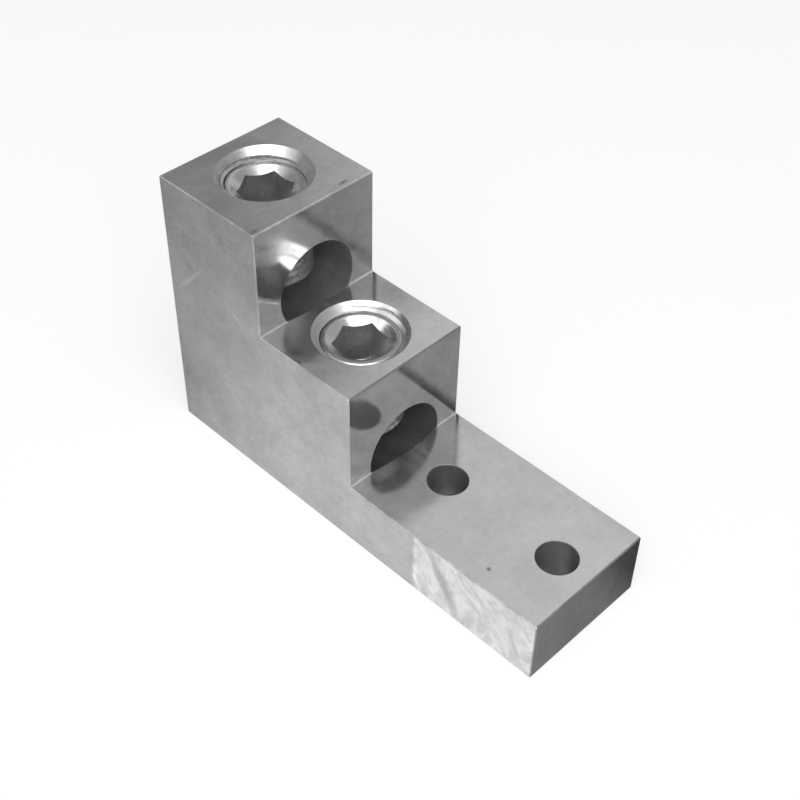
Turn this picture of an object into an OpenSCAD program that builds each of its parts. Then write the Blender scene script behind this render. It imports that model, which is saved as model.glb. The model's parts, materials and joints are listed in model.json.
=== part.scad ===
// Dual conductor lug: a stepped aluminium block with a drilled mounting pad,
// two wire bores, one above the other, and a socket set screw over each bore.
// Origin: middle of the base, under the middle of the overall box.
// +X points along the pad, away from the tall end; +Y across; +Z up.

/* [Block] */
// Width of the block and the pad
body_w = 38.1; // [34:0.1:50]
// Length of the tall block, from the back face to the upper front face
tall_len = 34.2; // [28:0.1:45]
// Length of the middle block, from the upper front face to the lower front face
mid_len = 30.9; // [28:0.1:45]
// Length of the pad, from the lower front face to its end
pad_len = 59.9; // [54:0.1:90]
// Thickness of the pad
pad_h = 18.6; // [15:0.1:25]
// Rise from the pad to the middle step
mid_rise = 29.1; // [26:0.1:40]
// Rise from the middle step to the top face
tall_rise = 30.0; // [26:0.1:40]
// Radius left in the two inner corners of the stair
inner_r = 0.4; // [0.2:0.1:3]
// Radius on the outer corners of the stair
outer_r = 0.4; // [0.1:0.1:2]

/* [Wire bores] */
// Diameter of both wire bores
bore_d = 23.8; // [20:0.1:28]
// Height of the upper bore's axis above the middle step
upper_bore_rise = 6.0; // [4:0.1:9]
// Height of the lower bore's axis above the pad
lower_bore_rise = 1.7; // [0:0.1:5]
// How far each bore's straight wall runs on past its front face
bore_runout = 0.2; // [0.1:0.1:2]
// Depth of the blunt cone that the cutter left at each bore's end
bore_point = 1.4; // [0.2:0.1:3]

/* [Tapped holes] */
// Diameter of the thread over its crests
thread_d = 22.2; // [19:0.1:24]
// Depth of the thread, from crest to root
thread_h = 1.2; // [0.8:0.05:1.6]
// How far the countersunk mouth of a tapped hole spreads past the thread
mouth_w = 1.15; // [0.3:0.05:2]
// Included angle of the countersunk mouth
mouth_angle = 100; // [82:1:120]
// Shift of the upper tapped hole from the middle of its block, towards the pad
upper_hole_shift = -0.6; // [-1:0.1:1]
// Shift of the lower tapped hole from the middle of its block, towards the pad
lower_hole_shift = -0.1; // [-1:0.1:1]

/* [Set screws] */
// Length of a set screw
screw_len = 25.4; // [19:0.1:32]
// Radial clearance between screw and tapped hole
thread_gap = 0.06; // [0.02:0.01:0.1]
// Width of the 45 degree chamfer round the top, from the thread's crest
top_chamfer = 1.25; // [0.9:0.05:2]
// Width of the flat ring inside that chamfer
ring_w = 1.15; // [0.3:0.05:1.6]
// Width of the 45 degree chamfer round the tip, from the thread's crest
tip_chamfer = 1.6; // [0.9:0.05:4]
// Slope of the cone between the flat ring and the socket, from the horizontal
lead_slope = 35; // [20:1:45]
// Size of the hexagon socket, across its flats
key_af = 12.7; // [8:0.1:14]
// Depth of the hexagon socket
key_depth = 12.7; // [9:0.1:16]
// Included angle of the drill point under the socket
drill_angle = 118; // [90:1:140]
// Gap between the upper screw's last crest and the wall of its bore
upper_tip_gap = 1.3; // [0.1:0.1:10]
// Gap between the lower screw's last crest and the wall of its bore
lower_tip_gap = 6.1; // [0.1:0.1:10]
// Turn of the upper screw's socket
upper_turn = 2; // [-30:1:30]
// Turn of the lower screw's socket
lower_turn = -6; // [-30:1:30]

/* [Pad holes] */
// Diameter of the two bolt holes
pad_hole_d = 10.4; // [6:0.1:14]
// Distance from the lower front face to the first bolt hole
pad_hole_start = 15.0; // [12:0.1:20]
// Distance between the bolt holes
pad_hole_pitch = 34.9; // [20:0.1:38]

/* [Hidden] */
$fn = 96;
// Cuts run this far past the faces they open
over = 1;

// Stations along X, measured from the back face, and levels along Z
overall_len = tall_len + mid_len + pad_len;
back_x = -overall_len / 2;
tall_x = back_x + tall_len;
mid_x = tall_x + mid_len;
end_x = mid_x + pad_len;
mid_z = pad_h + mid_rise;
top_z = mid_z + tall_rise;

// Wire bores
bore_r = bore_d / 2;
upper_bore_z = mid_z + upper_bore_rise;
lower_bore_z = pad_h + lower_bore_rise;

// Tapped holes stand in the middle of their blocks, apart from their shifts
upper_screw_x = back_x + tall_len / 2 + upper_hole_shift;
lower_screw_x = tall_x + mid_len / 2 + lower_hole_shift;
// Hole and screw are plain cylinders that stand for the thread at half its depth
crest_r = thread_d / 2;
tap_r = crest_r - thread_h / 2;
mouth_r = crest_r + mouth_w;

// Set screws
screw_r = tap_r - thread_gap;
rim_r = crest_r - top_chamfer;
lead_r = rim_r - ring_w;
tip_r = crest_r - tip_chamfer;
lead_depth = lead_r * tan(lead_slope);
key_r = key_af / 2 / cos(30);
drill_depth = key_af / 2 / tan(drill_angle / 2);

// A screw at the end of its travel would touch the bore's wall with its last
// crest, which lies above the tip by the height of the tip's 45 degree chamfer
crest_drop = sqrt(max(0, bore_r * bore_r - crest_r * crest_r));
upper_tip_z = upper_bore_z - crest_drop - tip_chamfer + upper_tip_gap;
lower_tip_z = lower_bore_z - crest_drop - tip_chamfer + lower_tip_gap;

// Fills the inner corner at the origin, between +X and +Y, with a radius
module corner_fill(r) {
    difference() {
        square(r);
        translate([r, r]) circle(r);
    }
}

// Takes a radius off the outer corner at the origin that points to +X and +Y
module corner_cut(r) {
    translate([-r, -r])
        difference() {
            square(r + over);
            circle(r);
        }
}

// The stair as it is extruded, seen from the side
module stair_profile() {
    difference() {
        union() {
            polygon([
                [back_x, 0],
                [end_x, 0],
                [end_x, pad_h],
                [mid_x, pad_h],
                [mid_x, mid_z],
                [tall_x, mid_z],
                [tall_x, top_z],
                [back_x, top_z]
            ]);
            translate([mid_x, pad_h]) corner_fill(inner_r);
            translate([tall_x, mid_z]) corner_fill(inner_r);
        }
        translate([end_x, pad_h]) corner_cut(outer_r);
        translate([mid_x, mid_z]) corner_cut(outer_r);
        translate([tall_x, top_z]) corner_cut(outer_r);
        translate([back_x, top_z]) mirror([1, 0]) corner_cut(outer_r);
        translate([end_x, 0]) mirror([0, 1]) corner_cut(outer_r);
        translate([back_x, 0]) rotate(180) corner_cut(outer_r);
    }
}

// A wire bore, from the back face to just past a front face, where it ends in a blunt cone
module wire_bore(axis_z, front_x) {
    straight_len = front_x + bore_runout - back_x + over;
    translate([back_x - over, 0, axis_z])
        rotate([0, 90, 0]) {
            cylinder(h = straight_len, r = bore_r);
            translate([0, 0, straight_len])
                cylinder(h = bore_point, r1 = bore_r, r2 = 0);
        }
}

// A tapped hole, from a top face down to the middle of the bore under it,
// with its countersunk mouth
module tapped_hole(x, face_z, bore_z) {
    mouth_depth = (mouth_r - tap_r) / tan(mouth_angle / 2);
    mouth_over = over * tan(mouth_angle / 2);
    translate([x, 0, bore_z])
        cylinder(h = face_z - bore_z + over, r = tap_r);
    translate([x, 0, face_z - mouth_depth])
        cylinder(h = mouth_depth + over, r1 = tap_r, r2 = mouth_r + mouth_over);
}

// One bolt hole through the pad
module pad_hole(x) {
    translate([x, 0, -over])
        cylinder(h = pad_h + 2 * over, d = pad_hole_d);
}

module lug_body() {
    color([0.72, 0.72, 0.73])
    difference() {
        rotate([90, 0, 0])
            linear_extrude(height = body_w, center = true)
                stair_profile();
        wire_bore(upper_bore_z, tall_x);
        wire_bore(lower_bore_z, mid_x);
        tapped_hole(upper_screw_x, top_z, upper_bore_z);
        tapped_hole(lower_screw_x, mid_z, lower_bore_z);
        for (i = [0, 1])
            pad_hole(mid_x + pad_hole_start + i * pad_hole_pitch);
    }
}

// A set screw standing on its tip, with the lead-in cone turned into its top
// and a hexagon socket that cuts the cone in scallops
module set_screw(turn) {
    difference() {
        rotate_extrude()
            polygon([
                [0, 0],
                [tip_r, 0],
                [screw_r, screw_r - tip_r],
                [screw_r, screw_len - (screw_r - rim_r)],
                [rim_r, screw_len],
                [lead_r, screw_len],
                [0, screw_len - lead_depth]
            ]);
        translate([0, 0, screw_len - key_depth])
            rotate(turn)
                cylinder(h = key_depth + over, r = key_r, $fn = 6);
        translate([0, 0, screw_len - key_depth - drill_depth])
            cylinder(h = drill_depth, r1 = 0, r2 = key_af / 2);
    }
}

module upper_set_screw() {
    color([0.62, 0.62, 0.64])
    translate([upper_screw_x, 0, upper_tip_z])
        set_screw(upper_turn);
}

module lower_set_screw() {
    color([0.62, 0.62, 0.64])
    translate([lower_screw_x, 0, lower_tip_z])
        set_screw(lower_turn);
}

lug_body();
upper_set_screw();
lower_set_screw();
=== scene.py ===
"""Looks of the dual conductor lug: a stepped, tin-plated aluminium block with two socket set screws."""
import json
import math

import bmesh
import bpy
from mathutils import Matrix, Vector


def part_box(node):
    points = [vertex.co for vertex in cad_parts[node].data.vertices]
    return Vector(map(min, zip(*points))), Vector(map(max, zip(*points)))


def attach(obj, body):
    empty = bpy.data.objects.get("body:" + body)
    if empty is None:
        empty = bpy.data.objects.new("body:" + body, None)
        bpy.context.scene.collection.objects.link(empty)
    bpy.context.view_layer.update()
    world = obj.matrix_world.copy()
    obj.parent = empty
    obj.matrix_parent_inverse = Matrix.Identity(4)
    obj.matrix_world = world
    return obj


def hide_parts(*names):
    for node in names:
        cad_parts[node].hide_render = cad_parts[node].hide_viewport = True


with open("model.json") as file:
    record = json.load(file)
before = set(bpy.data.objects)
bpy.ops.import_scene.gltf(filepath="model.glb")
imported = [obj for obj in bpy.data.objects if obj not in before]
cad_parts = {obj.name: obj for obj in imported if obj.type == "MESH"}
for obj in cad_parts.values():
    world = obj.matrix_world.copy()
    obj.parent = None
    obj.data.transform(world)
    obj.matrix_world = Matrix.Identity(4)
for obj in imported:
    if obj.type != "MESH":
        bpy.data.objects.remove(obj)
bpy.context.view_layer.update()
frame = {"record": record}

# Lengths are in metres, and MM turns a value in millimetres into metres
MM = 0.001

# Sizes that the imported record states
MOUNTS = {m["name"]: m for m in frame["record"]["mounts"]}
BODY_LOW, BODY_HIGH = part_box("lug_body")
UPPER_BORE = MOUNTS["upper_wire_bore"]
LOWER_BORE = MOUNTS["lower_wire_bore"]
PAD_BOLTS = MOUNTS["pad_bolts"]
BORE_R = UPPER_BORE["dims"]["r_mm"] * MM
PAD_HOLE_R = PAD_BOLTS["dims"]["hole_r_mm"] * MM
PAD_HOLE_PITCH = PAD_BOLTS["dims"]["spacing_x_mm"] * MM

# The stair: lengths from the back face, levels from the base
TALL_LEN = 34.2 * MM
MID_LEN = 30.9 * MM
PAD_H = 18.6 * MM
MID_RISE = 29.1 * MM
INNER_R = 0.4 * MM
OUTER_R = 0.4 * MM
EDGE_R = 0.28 * MM
HOLE_EDGE = 0.12 * MM
BORE_RUNOUT = 0.2 * MM
BORE_POINT = 1.4 * MM
OVER = 1.0 * MM

BACK_X, END_X = BODY_LOW[0], BODY_HIGH[0]
TALL_X = BACK_X + TALL_LEN
MID_X = TALL_X + MID_LEN
MID_Z = PAD_H + MID_RISE
TOP_Z = BODY_HIGH[2]
HALF_W = BODY_HIGH[1]

# The thread, 7/8 in with 14 turns to the inch, and the countersink over each tapped hole
PITCH = 25.4 / 14 * MM
CREST_R = 11.1 * MM
ROOT_R = 10.05 * MM
THREAD_PLAY = 0.06 * MM
# One turn of the thread, as shares of the pitch and of the depth
THREAD_FORM = ((0.0, 1.0), (0.125, 1.0), (0.2813, 0.5), (0.4375, 0.0), (0.6875, 0.0), (0.8438, 0.5))
MOUTH_R = 12.25 * MM
MOUTH_SLOPE = math.tan(math.radians(50))

# The set screws
TOP_CHAMFER = 1.25 * MM
RING_W = 1.15 * MM
TIP_CHAMFER = 1.6 * MM
LEAD_SLOPE = math.tan(math.radians(35))
KEY_AF = 12.7 * MM
KEY_DEPTH = 12.7 * MM
DRILL_SLOPE = math.tan(math.radians(59))
EDGE_BREAK = 0.1 * MM
UPPER_TURN = math.radians(2)
LOWER_TURN = math.radians(-6)

# Steps round a full circle, and round a quarter of a rim or corner
ROUND = 144
ARC_STEPS = 6


# Mesh helpers

def new_object(name, verts, faces):
    mesh = bpy.data.meshes.new(name)
    mesh.from_pydata(verts, [], faces)
    mesh.update()
    obj = bpy.data.objects.new(name, mesh)
    bpy.context.scene.collection.objects.link(obj)
    return obj


def clean(obj, merge=1e-7):
    """Merges doubled points, drops empty faces and turns all faces outward."""
    bm = bmesh.new()
    bm.from_mesh(obj.data)
    bmesh.ops.remove_doubles(bm, verts=bm.verts, dist=merge)
    bmesh.ops.dissolve_degenerate(bm, edges=bm.edges, dist=merge)
    bmesh.ops.recalc_face_normals(bm, faces=bm.faces)
    bm.to_mesh(obj.data)
    bm.free()
    return obj


def revolve(name, profile, place):
    """A closed surface of revolution about local Z, through (radius, height) points."""
    verts, faces = [], []
    for r, z in profile:
        for i in range(ROUND):
            a = 2 * math.pi * i / ROUND
            verts.append(place @ Vector((r * math.cos(a), r * math.sin(a), z)))
    for ring in range(len(profile) - 1):
        for i in range(ROUND):
            j = (i + 1) % ROUND
            low, high = ring * ROUND, (ring + 1) * ROUND
            faces.append((low + i, low + j, high + j, high + i))
    return clean(new_object(name, verts, faces))


def prism(name, sides, across_flats, z_low, z_high, turn, centre):
    """An upright prism with its corners on the given turn."""
    r = across_flats / 2 / math.cos(math.pi / sides)
    ring = [turn + 2 * math.pi * i / sides for i in range(sides)]
    verts = [(centre[0] + r * math.cos(a), centre[1] + r * math.sin(a), z)
             for z in (z_low, z_high) for a in ring]
    faces = [tuple(range(sides)), tuple(range(sides, 2 * sides))]
    for i in range(sides):
        j = (i + 1) % sides
        faces.append((i, j, sides + j, sides + i))
    return clean(new_object(name, verts, faces))


def thread_field(name, centre, z_low, z_high, crest, root, phase_z, limit, caps):
    """A right-hand thread about a vertical axis, as rings that climb one pitch each turn.

    limit(radius, z) trims the thread at its ends, where every ring closes on one circle, and
    caps gives the (radius, height) circles that close the bottom and the top.
    """
    low_cap, high_cap = caps
    first = math.floor((z_low - phase_z) / PITCH) - 1
    last = math.ceil((z_high - phase_z) / PITCH)
    rings = [(turn + share, depth) for turn in range(first, last + 1) for share, depth in THREAD_FORM]
    columns = []
    for i in range(ROUND + 1):
        a = 2 * math.pi * i / ROUND
        column = [(r, z) for r, z in low_cap]
        for climb, depth in rings:
            z = phase_z + (climb + i / ROUND) * PITCH
            r = root + depth * (crest - root)
            z = min(max(z, z_low), z_high)
            column.append((limit(r, z), z))
        column += [(r, z) for r, z in high_cap]
        columns.append([(centre[0] + r * math.cos(a), centre[1] + r * math.sin(a), z) for r, z in column])
    # The last column meets the first one a turn of rings higher, and merging its points closes the seam
    verts = [v for column in columns for v in column]
    high = len(columns[0])
    faces = [(i * high + j, (i + 1) * high + j, (i + 1) * high + j + 1, i * high + j + 1)
             for i in range(ROUND) for j in range(high - 1)]
    return clean(new_object(name, verts, faces))


def apply_modifiers(obj):
    graph = bpy.context.evaluated_depsgraph_get()
    mesh = bpy.data.meshes.new_from_object(obj.evaluated_get(graph))
    obj.modifiers.clear()
    obj.data = mesh


def cut(obj, cutters):
    """Takes the cutters away from the object, one at a time, and deletes them."""
    for cutter in cutters:
        mod = obj.modifiers.new("cut", "BOOLEAN")
        mod.operation = "DIFFERENCE"
        mod.solver = "EXACT"
        mod.object = cutter
        apply_modifiers(obj)
        bpy.data.objects.remove(cutter)
    return clean(obj)


def shade(obj, degrees=30):
    """Smooth shading, sharp where faces meet at more than the angle, and flat across large faces."""
    obj.data.polygons.foreach_set("use_smooth", [True] * len(obj.data.polygons))
    bm = bmesh.new()
    bm.from_mesh(obj.data)
    for edge in bm.edges:
        edge.smooth = len(edge.link_faces) == 2 and edge.calc_face_angle() < math.radians(degrees)
    bm.to_mesh(obj.data)
    bm.free()
    mod = obj.modifiers.new("large_faces_first", "WEIGHTED_NORMAL")
    mod.mode = "FACE_AREA"
    mod.weight = 100
    mod.keep_sharp = True
    apply_modifiers(obj)


# The block

def stair_outline(inset):
    """The stair seen from the side, as (x, z) points, with its corners rounded and set in."""
    corners = [(BACK_X, 0), (END_X, 0), (END_X, PAD_H), (MID_X, PAD_H),
               (MID_X, MID_Z), (TALL_X, MID_Z), (TALL_X, TOP_Z), (BACK_X, TOP_Z)]
    points = []
    for i, corner in enumerate(corners):
        here = Vector(corner)
        go_in = (here - Vector(corners[i - 1])).normalized()
        go_out = (Vector(corners[(i + 1) % len(corners)]) - here).normalized()
        side_in = Vector((-go_in.y, go_in.x))
        side_out = Vector((-go_out.y, go_out.x))
        outer = go_in.x * go_out.y - go_in.y * go_out.x > 0
        r = OUTER_R if outer else INNER_R
        sign = 1 if outer else -1
        centre = here + sign * r * (side_in + side_out)
        reach = r - sign * inset
        for step in range(ARC_STEPS + 1):
            t = math.pi / 2 * step / ARC_STEPS
            points.append(centre - sign * reach * (math.cos(t) * side_in + math.sin(t) * side_out))
    return points


def stair_block():
    """The stair extruded across the width, with both rims rounded over."""
    sections = []
    for side in (-1, 1):
        rim = []
        for step in range(ARC_STEPS + 1):
            t = math.pi / 2 * step / ARC_STEPS
            inset = EDGE_R * (1 - math.sin(t))
            y = side * (HALF_W - EDGE_R * (1 - math.cos(t)))
            rim.append((inset, y))
        sections += rim if side < 0 else rim[::-1]
    verts, faces = [], []
    for inset, y in sections:
        verts += [(p.x, y, p.y) for p in stair_outline(inset)]
    n = len(verts) // len(sections)
    for s in range(len(sections) - 1):
        for i in range(n):
            j = (i + 1) % n
            faces.append((s * n + i, s * n + j, (s + 1) * n + j, (s + 1) * n + i))
    faces.append(tuple(range(n)))
    faces.append(tuple(range((len(sections) - 1) * n, len(sections) * n)))
    return clean(new_object("lug_block", verts, faces))


def wire_bore_cutter(mount, front_x):
    """A bore from the back face to just past a front face, with a broken edge and a blunt cone's end."""
    x, y, z = mount["pos_m"]
    end = front_x + BORE_RUNOUT - BACK_X
    profile = [(0, -OVER), (BORE_R + HOLE_EDGE + OVER, -OVER), (BORE_R, HOLE_EDGE), (BORE_R, end),
               (0, end + BORE_POINT)]
    along_x = Matrix.Translation((x, y, z)) @ Matrix.Rotation(math.pi / 2, 4, "Y")
    return revolve("bore_cutter", profile, along_x)


def tapped_hole_cutter(screw_box, face_z, bore_z, phase_z):
    """A threaded hole from a top face down into the bore, with a countersunk mouth.

    The thread opens into the countersink above, and closes at 45 degrees inside the bore.
    """
    centre = ((screw_box[0][0] + screw_box[1][0]) / 2, 0)
    top = face_z + OVER
    end_r = ROOT_R - OVER

    def limit(r, z):
        cone = MOUTH_R - (face_z - z) * MOUTH_SLOPE
        return min(max(r, cone), max(cone, end_r + (z - bore_z)))

    caps = ([(0, bore_z)], [(0, top)])
    return thread_field("tap_cutter", centre, bore_z, top, CREST_R + THREAD_PLAY,
                        ROOT_R + THREAD_PLAY, phase_z, limit, caps)


def pad_hole_cutter(x):
    """A plain bolt hole through the pad, with both edges broken."""
    r, e = PAD_HOLE_R, HOLE_EDGE
    profile = [(0, -OVER), (r + e + OVER, -OVER), (r, e), (r, PAD_H - e), (r + e + OVER, PAD_H + OVER),
               (0, PAD_H + OVER)]
    return revolve("pad_hole_cutter", profile, Matrix.Translation((x, 0, 0)))


def lug_block():
    """The stair with its two bores, its two tapped holes and its two bolt holes."""
    obj = stair_block()
    upper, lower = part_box("upper_set_screw"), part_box("lower_set_screw")
    cutters = [
        wire_bore_cutter(UPPER_BORE, TALL_X),
        wire_bore_cutter(LOWER_BORE, MID_X),
        tapped_hole_cutter(upper, TOP_Z, UPPER_BORE["pos_m"][2], upper[0][2]),
        tapped_hole_cutter(lower, MID_Z, LOWER_BORE["pos_m"][2], lower[0][2]),
        pad_hole_cutter(PAD_BOLTS["pos_m"][0] - PAD_HOLE_PITCH / 2),
        pad_hole_cutter(PAD_BOLTS["pos_m"][0] + PAD_HOLE_PITCH / 2),
    ]
    cut(obj, cutters)
    shade(obj)
    return obj


# The set screws

def set_screw(name, box, turn):
    """A threaded screw with chamfered ends and a hexagon socket that scallops its lead-in cone."""
    low, high = box[0][2], box[1][2]
    centre = ((box[0][0] + box[1][0]) / 2, (box[0][1] + box[1][1]) / 2)
    rim_r = CREST_R - TOP_CHAMFER
    lead_r = rim_r - RING_W
    tip_r = CREST_R - TIP_CHAMFER
    e = EDGE_BREAK

    def limit(r, z):
        return min(r, rim_r + (high - e - z), tip_r + (z - low - e))

    tip_cap = [(0, low), (tip_r - e, low)]
    top_cap = [(rim_r - e, high), (lead_r + e, high), (lead_r - e, high - e),
               (0, high - e - (lead_r - e) * LEAD_SLOPE)]
    obj = thread_field(name, centre, low + e, high - e, CREST_R, ROOT_R, low, limit, (tip_cap, top_cap))
    socket = prism("socket_cutter", 6, KEY_AF, high - KEY_DEPTH, high + OVER, turn, centre)
    cone = [(0, -KEY_AF / 2 / DRILL_SLOPE), (KEY_AF / 2, 0), (KEY_AF / 2, OVER), (0, OVER)]
    drill = revolve("drill_cutter", cone, Matrix.Translation((centre[0], centre[1], high - KEY_DEPTH)))
    cut(obj, [socket, drill])
    shade(obj)
    return obj


# Materials: neutral greys, since the plate has no colour of its own

# The share that METALLIC leaves is matt, for the finest scratches, which scatter light all ways
METALLIC = 0.9
# Share of the metal that a matt patch loses
MATT_LOSS = 0.62
# Weight of the fine mottling against the clouds
MOTTLE = 0.5
CLOUD_SIZE = (13 * MM,) * 3
MOTTLE_SIZE = (1.8 * MM,) * 3
SWELL_SIZE = (7 * MM,) * 3
# Depths of the tool lines and of the mottling, as shares of the swell's height
LINE_DEPTH = 0.05
MOTTLE_DEPTH = 0.02
# Sizes of the tool lines along X, Y and Z
MILLED = (0.35 * MM, 9 * MM, 0.35 * MM)
SAWN = (11 * MM, 0.5 * MM, 0.5 * MM)
SAWN_TURN = (0, -40, 0)
UNTURNED = (0, 0, 0)


def node(tree, kind, **values):
    """Adds a node, sets its attributes, and its inputs by name."""
    made = tree.nodes.new(kind)
    for key, value in values.items():
        if key in made.inputs:
            made.inputs[key].default_value = value
        else:
            setattr(made, key, value)
    return made


def placed(tree, place=(0, 0, 0), turn=(0, 0, 0), size=(1, 1, 1)):
    """Object coordinates as seen from a frame of its own: its place, turn in degrees and size."""
    coords = node(tree, "ShaderNodeTexCoord")
    frame_of = node(tree, "ShaderNodeMapping", vector_type="TEXTURE")
    frame_of.inputs["Location"].default_value = place
    frame_of.inputs["Rotation"].default_value = [math.radians(a) for a in turn]
    frame_of.inputs["Scale"].default_value = size
    tree.links.new(coords.outputs["Object"], frame_of.inputs["Vector"])
    return frame_of.outputs["Vector"]


def noise(tree, size, turn=(0, 0, 0), detail=4.0, swirl=0.0):
    """Noise whose features have the given sizes along the turned axes, in metres."""
    made = node(tree, "ShaderNodeTexNoise", Scale=1.0, Detail=detail, Roughness=0.6, Distortion=swirl)
    tree.links.new(placed(tree, turn=turn, size=size), made.inputs["Vector"])
    return made.outputs["Fac"]


def spot(tree, place, size, turn=(0, 0, 0)):
    """One soft oval mark: 1 in its middle, 0 from its rim on."""
    made = node(tree, "ShaderNodeTexGradient", gradient_type="SPHERICAL")
    tree.links.new(placed(tree, place, turn, size), made.inputs["Vector"])
    return made.outputs["Fac"]


def ramp(tree, value, low, high, to_low=0.0, to_high=1.0):
    made = node(tree, "ShaderNodeMapRange", interpolation_type="SMOOTHSTEP")
    for key, number in {"From Min": low, "From Max": high, "To Min": to_low, "To Max": to_high}.items():
        made.inputs[key].default_value = number
    tree.links.new(value, made.inputs["Value"])
    return made.outputs["Result"]


def total(tree, start, parts):
    """start plus each part times its weight."""
    last = None
    for value, weight in parts:
        made = node(tree, "ShaderNodeMath", operation="MULTIPLY_ADD")
        made.inputs[1].default_value = weight
        made.inputs[2].default_value = start
        tree.links.new(value, made.inputs[0])
        if last is not None:
            tree.links.new(last, made.inputs[2])
        last = made.outputs[0]
    return last


def plated_metal(name, grey, rough, lines, line_gain, cloud_gain, wave, line_turn=UNTURNED, marks=(),
                 matt=None, lean=0.0, metallic=METALLIC):
    """Tin plate over a cut face: cloudy, with fine tool lines, a slight swell, and single marks and patches
    of painted shade, light and reflection.

    rough is the least and the most roughness, lines the tool lines' sizes along the turned axes,
    the gains are shares of the grey, wave the swell's height, marks a list of (function that makes
    a mask, gain), matt a mask of where the plate is burnished matt, and lean the slope by which
    the face overhangs.
    """
    mat = bpy.data.materials.new(name)
    mat.use_nodes = True
    tree = mat.node_tree
    bsdf = tree.nodes["Principled BSDF"]
    bsdf.inputs["Metallic"].default_value = metallic
    bsdf.inputs["Specular IOR Level"].default_value = 0.3
    if matt is not None:
        tree.links.new(total(tree, metallic, [(matt(tree), -MATT_LOSS)]), bsdf.inputs["Metallic"])
    cloud = ramp(tree, noise(tree, CLOUD_SIZE, detail=6.0, swirl=0.3), 0.32, 0.68)
    mottle = ramp(tree, noise(tree, MOTTLE_SIZE, detail=4.0), 0.3, 0.7)
    line = noise(tree, lines, line_turn, detail=1.0)
    mean = grey * (1 - 0.5 * (cloud_gain + MOTTLE * cloud_gain + line_gain))
    parts = [(cloud, grey * cloud_gain), (mottle, grey * MOTTLE * cloud_gain), (line, grey * line_gain)]
    parts += [(mask(tree), grey * gain) for mask, gain in marks]
    tree.links.new(total(tree, mean, parts), bsdf.inputs["Base Color"])
    tree.links.new(ramp(tree, total(tree, 0.0, [(cloud, 0.5), (line, 0.5)]), 0.2, 0.8, *rough),
                   bsdf.inputs["Roughness"])
    swell = noise(tree, SWELL_SIZE, detail=1.0)
    heights = [(swell, wave), (line, LINE_DEPTH * wave), (mottle, MOTTLE_DEPTH * wave)]
    if lean:
        split = node(tree, "ShaderNodeSeparateXYZ")
        tree.links.new(placed(tree), split.inputs[0])
        heights.append((split.outputs["Z"], lean))
    bump = node(tree, "ShaderNodeBump", Strength=1.0, Distance=1.0)
    tree.links.new(total(tree, 0.0, heights), bump.inputs["Height"])
    tree.links.new(bump.outputs["Normal"], bsdf.inputs["Normal"])
    return mat


# Single marks and patches of painted shade, light and reflection on the faces, in millimetres, with the
# planes that they lie on

NEAR_SIDE = -HALF_W / MM
PAD_TOP = PAD_H / MM
STEP_TOP = MID_Z / MM
TALL_TOP = TOP_Z / MM


def mark(place, size, turn=(0, 0, 0)):
    """A soft oval mark by its place, half sizes and turn, as a function that makes its mask."""
    return lambda tree: spot(tree, [v * MM for v in place], [v * MM for v in size], turn)


# The marbling starts here, fades in over this length, and its border wanders by so much
MARBLE_X = 24.3 * MM
MARBLE_FADE = 1.5 * MM
MARBLE_WANDER = 4 * MM
WANDER_SIZE = (3.5 * MM,) * 3
VEIN_SIZE = (7 * MM, 7 * MM, 12 * MM)
VEIN_TURN = (0, -32, 0)
VEIN_SWIRL = 2.2
MARBLE_BAND = mark((35.2, NEAR_SIDE, 8.2), (2.6, 2, 13), (0, -31, 0))


def marbled(tree):
    """The pale marbled end of the near side face, beyond a ragged border, crossed by a band of bare metal."""
    split = node(tree, "ShaderNodeSeparateXYZ")
    tree.links.new(placed(tree), split.inputs[0])
    wander = noise(tree, WANDER_SIZE, detail=3.0)
    ragged_x = total(tree, -MARBLE_WANDER / 2, [(split.outputs["X"], 1.0), (wander, MARBLE_WANDER)])
    beyond = ramp(tree, ragged_x, MARBLE_X, MARBLE_X + MARBLE_FADE)
    near_side = ramp(tree, split.outputs["Y"], -HALF_W / 2, 0, 1.0, 0.0)
    veins = ramp(tree, noise(tree, VEIN_SIZE, VEIN_TURN, 5.0, VEIN_SWIRL), 0.34, 0.68, 0.3, 0.85)
    bare = total(tree, 1.0, [(MARBLE_BAND(tree), -1.1)])
    mask = beyond
    for part in (near_side, veins, bare):
        product = node(tree, "ShaderNodeMath", operation="MULTIPLY")
        tree.links.new(mask, product.inputs[0])
        tree.links.new(part, product.inputs[1])
        mask = product.outputs[0]
    return mask


# Each mark with the share of the grey that it adds or takes
SIDE_MARKS = [
    (marbled, 0.14),
    # A pale streak along the marbling's border, and the band across it
    (mark((25, NEAR_SIDE, 9), (1.1, 2, 14)), 0.25),
    (MARBLE_BAND, -0.16),
    # Darker over the foot of the tall end
    (mark((-66, NEAR_SIDE, 8), (26, 2, 34)), -0.38),
    # Two scratches
    (mark((-54.2, NEAR_SIDE, 51.2), (9.5, 2, 0.9), (0, -47, 0)), 0.36),
    (mark((-36, NEAR_SIDE, 47.8), (7, 2, 0.7), (0, 44, 0)), 0.2),
]
TOP_MARKS_AND_PAINTED_REFLECTIONS = [
    # The pit in the pad
    (mark((43.6, -13.9, PAD_TOP), (0.9, 0.8, 1)), -0.75),
    # Two nicks beside the upper front
    (mark((-29.9, 10.6, TALL_TOP), (0.6, 1.9, 1)), -0.8),
    (mark((-29.7, -17.4, TALL_TOP), (0.6, 1.5, 1)), -0.5),
    # Painted reflections of the dark bore mouths, on the step and on the pad
    (mark((-18.2, -16.6, STEP_TOP), (3.2, 2.0, 1), (0, 0, 35)), -0.4),
    (mark((-15.2, -18.2, STEP_TOP), (1.2, 0.7, 1)), -0.5),
    (mark((5.6, -13.8, PAD_TOP), (2.6, 1.8, 1), (0, 0, 40)), -0.3),
    # Painted darker reflections in the far corners of the step and the pad
    (mark((-19, 17, STEP_TOP), (16, 8, 1)), -0.36),
    (mark((9, 17, PAD_TOP), (12, 6, 1)), -0.15),
]
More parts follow.
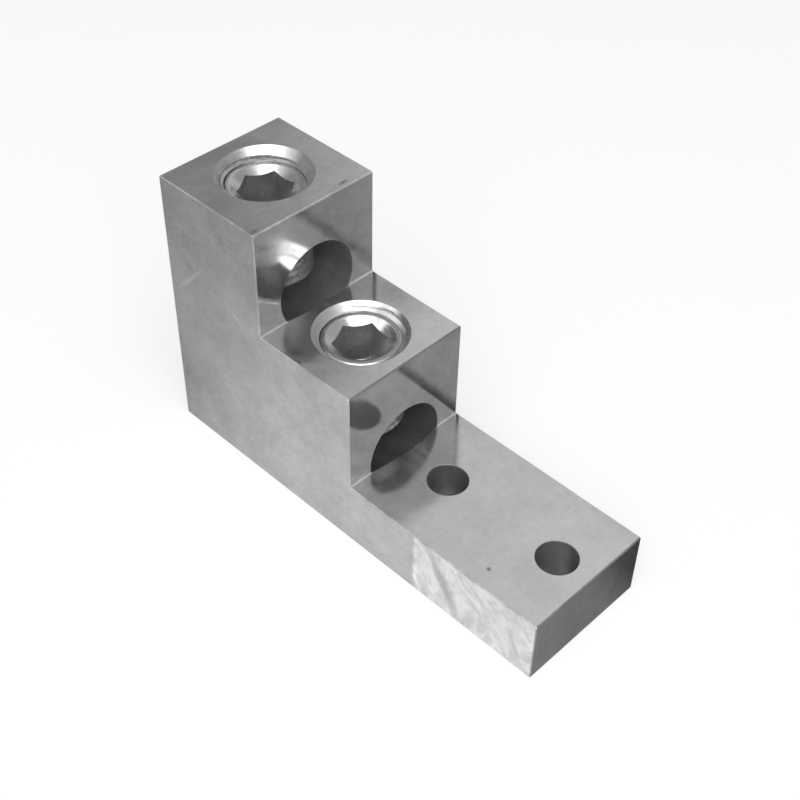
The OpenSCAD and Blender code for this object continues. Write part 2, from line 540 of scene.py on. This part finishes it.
BORE_PAINTED_SHADE_AND_LIGHT = [
    # Painted shade darkens the lower bore, and painted light brightens the upper bore's pocket in the step
    (mark((-25, 0, 20), (60, 17, 15)), -0.5),
    (mark((-30, 6, 46), (5, 5, 4)), 0.3),
]
TURNED_PAINTED_REFLECTIONS = [
    # Painted darker reflections on one side of each countersunk mouth
    (mark((-54.5, -8.5, 77), (7, 7, 3)), -0.42),
    (mark((-21.2, -8.5, 47), (7, 7, 3)), -0.3),
]
HOLE_PAINTED_LIGHT = [
    # Painted light: lighter streaks down the far walls of the bolt holes
    (mark((14.3, 4, 8.3), (2.4, 2.4, 3.4)), 0.5),
    (mark((51.3, 5, 11), (2.6, 2.6, 10)), 0.5),
]


def block_finishes():
    """The block's materials, by the names that face_finish gives."""
    return {
        "side": plated_metal("plate_side", grey=0.78, rough=(0.16, 0.26), lines=SAWN, line_turn=SAWN_TURN,
                             line_gain=0.08, cloud_gain=0.17, wave=0.03 * MM, marks=SIDE_MARKS,
                             matt=marbled),
        "top": plated_metal("plate_top", grey=0.79, rough=(0.12, 0.21), lines=MILLED, line_gain=0.12,
                            cloud_gain=0.13, wave=0.035 * MM, marks=TOP_MARKS_AND_PAINTED_REFLECTIONS, metallic=0.95),
        # Painted shade: the fronts and the end take a lower grey than the sides and tops, for the same plate
        "front": plated_metal("plate_front", grey=0.6, rough=(0.06, 0.13), lines=MILLED, line_gain=0.1,
                              cloud_gain=0.2, wave=0.03 * MM, lean=0.028, metallic=0.92),
        "end": plated_metal("plate_end", grey=0.6, rough=(0.12, 0.2), lines=MILLED, line_gain=0.1,
                            cloud_gain=0.2, wave=0.02 * MM, metallic=0.92),
        # Painted shade: the bores take a much lower grey than the plate outside
        "bore": plated_metal("plate_bore_painted_shade", grey=0.21, rough=(0.34, 0.46), lines=(3 * MM, 8 * MM, 8 * MM),
                             line_gain=0.08, cloud_gain=0.35, wave=0.004 * MM, marks=BORE_PAINTED_SHADE_AND_LIGHT,
                             metallic=0.5),
        "turned": plated_metal("plate_turned", grey=0.66, rough=(0.25, 0.38),
                               lines=(5 * MM, 5 * MM, 0.25 * MM), line_gain=0.28, cloud_gain=0.1,
                               wave=0.004 * MM, marks=TURNED_PAINTED_REFLECTIONS, metallic=0.95),
        "edge": plated_metal("plate_edge", grey=0.72, rough=(0.3, 0.45), lines=(2 * MM,) * 3,
                             line_gain=0.2, cloud_gain=0.3, wave=0.02 * MM),
        "crease": plated_metal("plate_crease", grey=0.42, rough=(0.35, 0.5), lines=MILLED, line_gain=0.2,
                               cloud_gain=0.2, wave=0.01 * MM, metallic=0.3),
        # Painted shade: the bolt holes take a much lower grey than the plate outside
        "hole": plated_metal("plate_hole_painted_shade", grey=0.19, rough=(0.34, 0.46),
                             lines=(1.3 * MM, 1.3 * MM, 14 * MM), line_gain=0.4, cloud_gain=0.2,
                             wave=0.004 * MM, marks=HOLE_PAINTED_LIGHT, metallic=0.5),
    }


def screw_finishes():
    """The screws' own metal, a darker one inside their sockets as painted shade, and a duller one on their
    threads.
    """
    return [
        plated_metal("plate_screw", grey=0.68, rough=(0.18, 0.3), lines=(4 * MM, 4 * MM, 0.25 * MM),
                     line_gain=0.12, cloud_gain=0.12, wave=0.01 * MM, metallic=0.95),
        # Painted shade: a lower grey inside the hexagon sockets
        plated_metal("plate_socket_painted_shade", grey=0.42, rough=(0.25, 0.35), lines=(1.2 * MM, 1.2 * MM, 6 * MM),
                     line_gain=0.08, cloud_gain=0.25, wave=0.01 * MM, metallic=0.8),
        plated_metal("plate_thread", grey=0.62, rough=(0.2, 0.3), lines=(3 * MM, 3 * MM, 0.4 * MM),
                     line_gain=0.3, cloud_gain=0.2, wave=0.005 * MM),
    ]


def face_finish(centre, normal, screw_x):
    """Which finish a face of the block takes, by where it lies and looks."""
    near = 0.02 * MM
    square_on = 0.999
    if abs(normal.y) > square_on and abs(abs(centre.y) - HALF_W) < near:
        return "side"
    if abs(normal.z) > square_on and min(abs(centre.z - z) for z in (0, PAD_H, MID_Z, TOP_Z)) < near:
        return "top"
    if normal.x > square_on and min(abs(centre.x - x) for x in (TALL_X, MID_X)) < near:
        return "front"
    if abs(normal.x) > square_on and min(abs(centre.x - x) for x in (BACK_X, END_X)) < near:
        return "end"
    for x, bore in zip(screw_x, (UPPER_BORE, LOWER_BORE)):
        if math.hypot(centre.x - x, centre.y) < MOUTH_R and centre.z > bore["pos_m"][2] + ROOT_R / 2:
            return "turned"
    for side in (-1, 1):
        x = PAD_BOLTS["pos_m"][0] + side * PAD_HOLE_PITCH / 2
        if math.hypot(centre.x - x, centre.y) < PAD_HOLE_R + HOLE_EDGE:
            return "hole"
    for bore in (UPPER_BORE, LOWER_BORE):
        if math.hypot(centre.y, centre.z - bore["pos_m"][2]) < BORE_R + HOLE_EDGE:
            return "bore"
    for x, z in ((TALL_X, MID_Z), (MID_X, PAD_H)):
        if math.hypot(centre.x - x, centre.z - z) < INNER_R:
            return "crease"
    return "edge"


def dress_block(obj):
    """Gives each face of the block its finish."""
    finishes = block_finishes()
    names = list(finishes)
    obj.data.materials.clear()
    for mat in finishes.values():
        obj.data.materials.append(mat)
    screw_x = [(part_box(n)[0][0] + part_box(n)[1][0]) / 2 for n in ("upper_set_screw", "lower_set_screw")]
    for face in obj.data.polygons:
        face.material_index = names.index(face_finish(face.center, face.normal, screw_x))


def dress_screw(obj, box, finishes):
    """Gives each face of a screw one of its finishes: outside, socket or thread."""
    outside, socket, thread = 0, 1, 2
    obj.data.materials.clear()
    for mat in finishes:
        obj.data.materials.append(mat)
    axis_x, axis_y = [(box[0][i] + box[1][i]) / 2 for i in (0, 1)]
    corner_r = KEY_AF / 2 / math.cos(math.pi / 6) + 0.02 * MM
    for face in obj.data.polygons:
        inside = math.hypot(face.center.x - axis_x, face.center.y - axis_y) < corner_r
        upright = abs(face.normal.z) < 0.1
        deep = box[0][2] + MM < face.center.z < box[1][2] - KEY_DEPTH + MM
        below_top = face.center.z < box[1][2] - 1.5 * TOP_CHAMFER
        if inside and (upright or deep):
            face.material_index = socket
        else:
            face.material_index = thread if below_top else outside


def seen_by_eye_or_metal(tree):
    """1 for camera, glossy and transmission rays, 0 for light on the object."""
    path = node(tree, "ShaderNodeLightPath")
    first = node(tree, "ShaderNodeMath", operation="MAXIMUM")
    both = node(tree, "ShaderNodeMath", operation="MAXIMUM")
    tree.links.new(path.outputs["Is Camera Ray"], first.inputs[0])
    tree.links.new(path.outputs["Is Glossy Ray"], first.inputs[1])
    tree.links.new(first.outputs[0], both.inputs[0])
    tree.links.new(path.outputs["Is Transmission Ray"], both.inputs[1])
    return both.outputs[0]


# The share of plain white in the floor as the eye and the metal see it, by the part and far out from it.
# The rest keeps the part's shadow
FLOOR_GLOW = (0.6, 1.0)
GLOW_REACH = (0.25, 1.2)
FLOOR_GREY = 0.93


def floor_material():
    mat = bpy.data.materials.new("floor_white")
    mat.use_nodes = True
    tree = mat.node_tree
    bsdf = tree.nodes["Principled BSDF"]
    bsdf.inputs["Base Color"].default_value = (FLOOR_GREY,) * 3 + (1,)
    bsdf.inputs["Roughness"].default_value = 1.0
    bsdf.inputs["Specular IOR Level"].default_value = 0.0
    glow = node(tree, "ShaderNodeEmission", Strength=1.0)
    share = node(tree, "ShaderNodeMath", operation="MULTIPLY")
    away = node(tree, "ShaderNodeVectorMath", operation="LENGTH")
    tree.links.new(placed(tree), away.inputs[0])
    tree.links.new(ramp(tree, away.outputs["Value"], *GLOW_REACH, *FLOOR_GLOW), share.inputs[1])
    tree.links.new(seen_by_eye_or_metal(tree), share.inputs[0])
    mix = node(tree, "ShaderNodeMixShader")
    tree.links.new(share.outputs[0], mix.inputs[0])
    tree.links.new(bsdf.outputs[0], mix.inputs[1])
    tree.links.new(glow.outputs[0], mix.inputs[2])
    tree.links.new(mix.outputs[0], tree.nodes["Material Output"].inputs["Surface"])
    return mat


# Stage, light and camera. The camera is the photo's, solved from the block's corners and edges

FLOOR_SIZE = 6.0
CAMERA_PLACE = (167.1 * MM, -173.5 * MM, 259.5 * MM)
CAMERA_TURN = (46.85, -0.94, 44.69)
CAMERA_LENS = 60.69
CAMERA_SENSOR = 36
CAMERA_NEAREST = 0.01
KEY_LIGHT_DIR = (0.39, -0.42, 0.82)
KEY_LIGHT_DISTANCE = 1.15
KEY_LIGHT_SIZE = 1.15
KEY_LIGHT_POWER = 12.5
FILL_STRENGTH = 0.5

# The room of grey cards round the part, in millimetres. The softbox hangs under its ceiling and shows
# over its two low walls, which stand on the camera's side
ROOM_X = (-850, 1000)
ROOM_Y = (-800, 750)
ROOM_HEIGHT = 1300
LOW_HEIGHT = 740
BACK_CORNER = (-850, 50)
FAR_CORNER = (-50, 750)
RIGHT_CORNER = (950, 450)
END_CORNER = (900, -750)
NEAR_CORNER = (-700, -700)
NEAR_FLOOR_END = 150
CEILING_X = (-900, 1200)
CEILING_Y = (-600, 1200)
CARD_LIFT = 0.05
ROOM_GREY = 0.45
EDGE_CARD_WIDTH = 1.3
EDGE_CARD_GREY = 0.03


def add_floor():
    half = FLOOR_SIZE / 2
    floor = new_object("floor", [(-half, -half, 0), (half, -half, 0), (half, half, 0), (-half, half, 0)],
                       [(0, 1, 2, 3)])
    floor.data.materials.append(floor_material())


def graded(tree, axis, stops):
    """A grey along an axis of the object, through (place in millimetres, grey) stops."""
    first, last = stops[0][0], stops[-1][0]
    split = node(tree, "ShaderNodeSeparateXYZ")
    tree.links.new(placed(tree), split.inputs[0])
    share = node(tree, "ShaderNodeMapRange")
    share.inputs["From Min"].default_value = first * MM
    share.inputs["From Max"].default_value = last * MM
    tree.links.new(split.outputs[axis], share.inputs["Value"])
    scale = node(tree, "ShaderNodeValToRGB")
    elements = scale.color_ramp.elements
    elements[0].color = (stops[0][1],) * 3 + (1,)
    elements[1].color = (stops[-1][1],) * 3 + (1,)
    for place, grey in stops[1:-1]:
        elements.new((place - first) / (last - first)).color = (grey,) * 3 + (1,)
    tree.links.new(share.outputs["Result"], scale.inputs["Fac"])
    return scale.outputs["Color"]


def add_card(name, corners, axis, stops):
    """A grey card that only the metal's reflections see, graded along an axis."""
    card = new_object(name, [[v * MM for v in corner] for corner in corners], [(0, 1, 2, 3)])
    mat = bpy.data.materials.new(name)
    mat.use_nodes = True
    tree = mat.node_tree
    tree.nodes.remove(tree.nodes["Principled BSDF"])
    glow = node(tree, "ShaderNodeEmission")
    tree.links.new(graded(tree, axis, stops), glow.inputs["Color"])
    tree.links.new(glow.outputs[0], tree.nodes["Material Output"].inputs["Surface"])
    card.data.materials.append(mat)
    for ray in ("camera", "diffuse", "transmission", "shadow", "volume_scatter"):
        setattr(card, "visible_" + ray, False)


def flat_card(x_low, x_high, y_low, y_high, z=CARD_LIFT):
    """Corners of a level card, in millimetres. Without a height it lies just over the floor."""
    return [(x_low, y_low, z), (x_high, y_low, z), (x_high, y_high, z), (x_low, y_high, z)]


def wall(start, end, high, low=0):
    """Corners of an upright card between two places, in millimetres."""
    return [(*start, low), (*end, low), (*end, high), (*start, high)]


def even(grey):
    """Stops for a card of one grey."""
    return [(0, grey), (1, grey)]


def add_cards():
    """Grey cards round the part, which give the polished faces something darker than white to show."""
    side, end, back = HALF_W / MM, END_X / MM, BACK_X / MM
    # Behind the far side: two dark bands, as the shadows of the pad and of the middle block leave
    add_card("card_far_floor", flat_card(ROOM_X[0], end, side, ROOM_Y[1]), "Y",
             [(19, 0.03), (34.8, 0.03), (37.2, 0.3), (61.5, 0.3), (62.5, 0.08), (63.5, 0.08), (66.5, 0.27),
              (115, 0.3), (300, 0.33)])
    # Beyond the end: a dark band past the far side, a painted shadow of the part that only the end face's
    # reflection sees
    add_card("card_end_floor", flat_card(end, ROOM_X[1], *ROOM_Y), "Y",
             [(-19, 0.22), (10, 0.17), (18, 0.1), (24, 0.02), (34, 0.02), (80, 0.2)])
    add_card("card_near_floor", flat_card(ROOM_X[0], NEAR_FLOOR_END, ROOM_Y[0], -side), "X",
             [(-150, 0.22), (-110, 0.27), (-85, 0.33), (-60, 0.44), (-30, 0.5), (-5, 0.54), (100, 0.54)])
    add_card("card_back_floor", flat_card(ROOM_X[0], back, -side, side), "X", even(0.3))
    add_card("card_far_wall", wall(BACK_CORNER, FAR_CORNER, ROOM_HEIGHT), "X",
             [(-545, 0.2), (-499, 0.21), (-483, 0.255), (-465, 0.36), (-435, 0.37), (-415, 0.51),
              (-380, 0.57), (-50, 0.57)])
    # Beside the far edge of each front face: the dark line that the step and the pad show there
    fronts = [("card_low_edge", MID_X, PAD_H, MID_Z), ("card_high_edge", TALL_X, MID_Z, TOP_Z)]
    for name, x, low, high in fronts:
        inner, outer = (x / MM, side), (x / MM, side + EDGE_CARD_WIDTH)
        add_card(name, wall(inner, outer, high / MM, low / MM), "Z", even(EDGE_CARD_GREY))
    add_card("card_right_wall", wall(RIGHT_CORNER, FAR_CORNER, ROOM_HEIGHT), "X",
             [(-50, 0.32), (200, 0.34), (500, 0.42), (950, 0.42)])
    add_card("card_back_wall", wall(BACK_CORNER, NEAR_CORNER, ROOM_HEIGHT), "Y", even(0.27))
    add_card("card_near_wall", wall(NEAR_CORNER, END_CORNER, LOW_HEIGHT), "X", even(ROOM_GREY))
    add_card("card_end_wall", wall(END_CORNER, RIGHT_CORNER, LOW_HEIGHT), "Y", even(ROOM_GREY))
    add_card("card_ceiling", flat_card(*CEILING_X, *CEILING_Y, ROOM_HEIGHT), "X", even(ROOM_GREY))


def add_area_light(name, direction, distance, size, power):
    data = bpy.data.lights.new(name, "AREA")
    data.shape = "SQUARE"
    data.size = size
    data.energy = power
    obj = bpy.data.objects.new(name, data)
    bpy.context.scene.collection.objects.link(obj)
    toward = Vector(direction).normalized()
    obj.location = toward * distance
    obj.rotation_euler = toward.to_track_quat("Z", "Y").to_euler()


def add_world():
    """White as seen by the eye and by the metal, and a plain soft level as light."""
    world = bpy.data.worlds.new("studio")
    bpy.context.scene.world = world
    world.use_nodes = True
    tree = world.node_tree
    back = tree.nodes["Background"]
    level = node(tree, "ShaderNodeMapRange")
    level.inputs["To Min"].default_value = FILL_STRENGTH
    level.inputs["To Max"].default_value = 1.0
    tree.links.new(seen_by_eye_or_metal(tree), level.inputs["Value"])
    tree.links.new(level.outputs["Result"], back.inputs["Strength"])
    back.inputs["Color"].default_value = (1, 1, 1, 1)


def add_camera():
    data = bpy.data.cameras.new("camera")
    data.sensor_width = CAMERA_SENSOR
    data.lens = CAMERA_LENS
    data.clip_start = CAMERA_NEAREST
    cam = bpy.data.objects.new("camera", data)
    cam.location = CAMERA_PLACE
    cam.rotation_euler = [math.radians(a) for a in CAMERA_TURN]
    bpy.context.scene.collection.objects.link(cam)
    bpy.context.scene.camera = cam


block = lug_block()
dress_block(block)
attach(block, "block")
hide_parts("lug_body")

SCREWS = {
    "upper_set_screw": ("upper_screw", UPPER_TURN),
    "lower_set_screw": ("lower_screw", LOWER_TURN),
}
screw_metals = screw_finishes()
for cad_node, (body, turn) in SCREWS.items():
    screw = set_screw(cad_node + "_threaded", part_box(cad_node), turn)
    dress_screw(screw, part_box(cad_node), screw_metals)
    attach(screw, body)
    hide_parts(cad_node)

add_floor()
add_world()
add_area_light("key_softbox", KEY_LIGHT_DIR, KEY_LIGHT_DISTANCE, KEY_LIGHT_SIZE, KEY_LIGHT_POWER)
add_cards()
add_camera()
bpy.context.scene.view_settings.view_transform = "Standard"
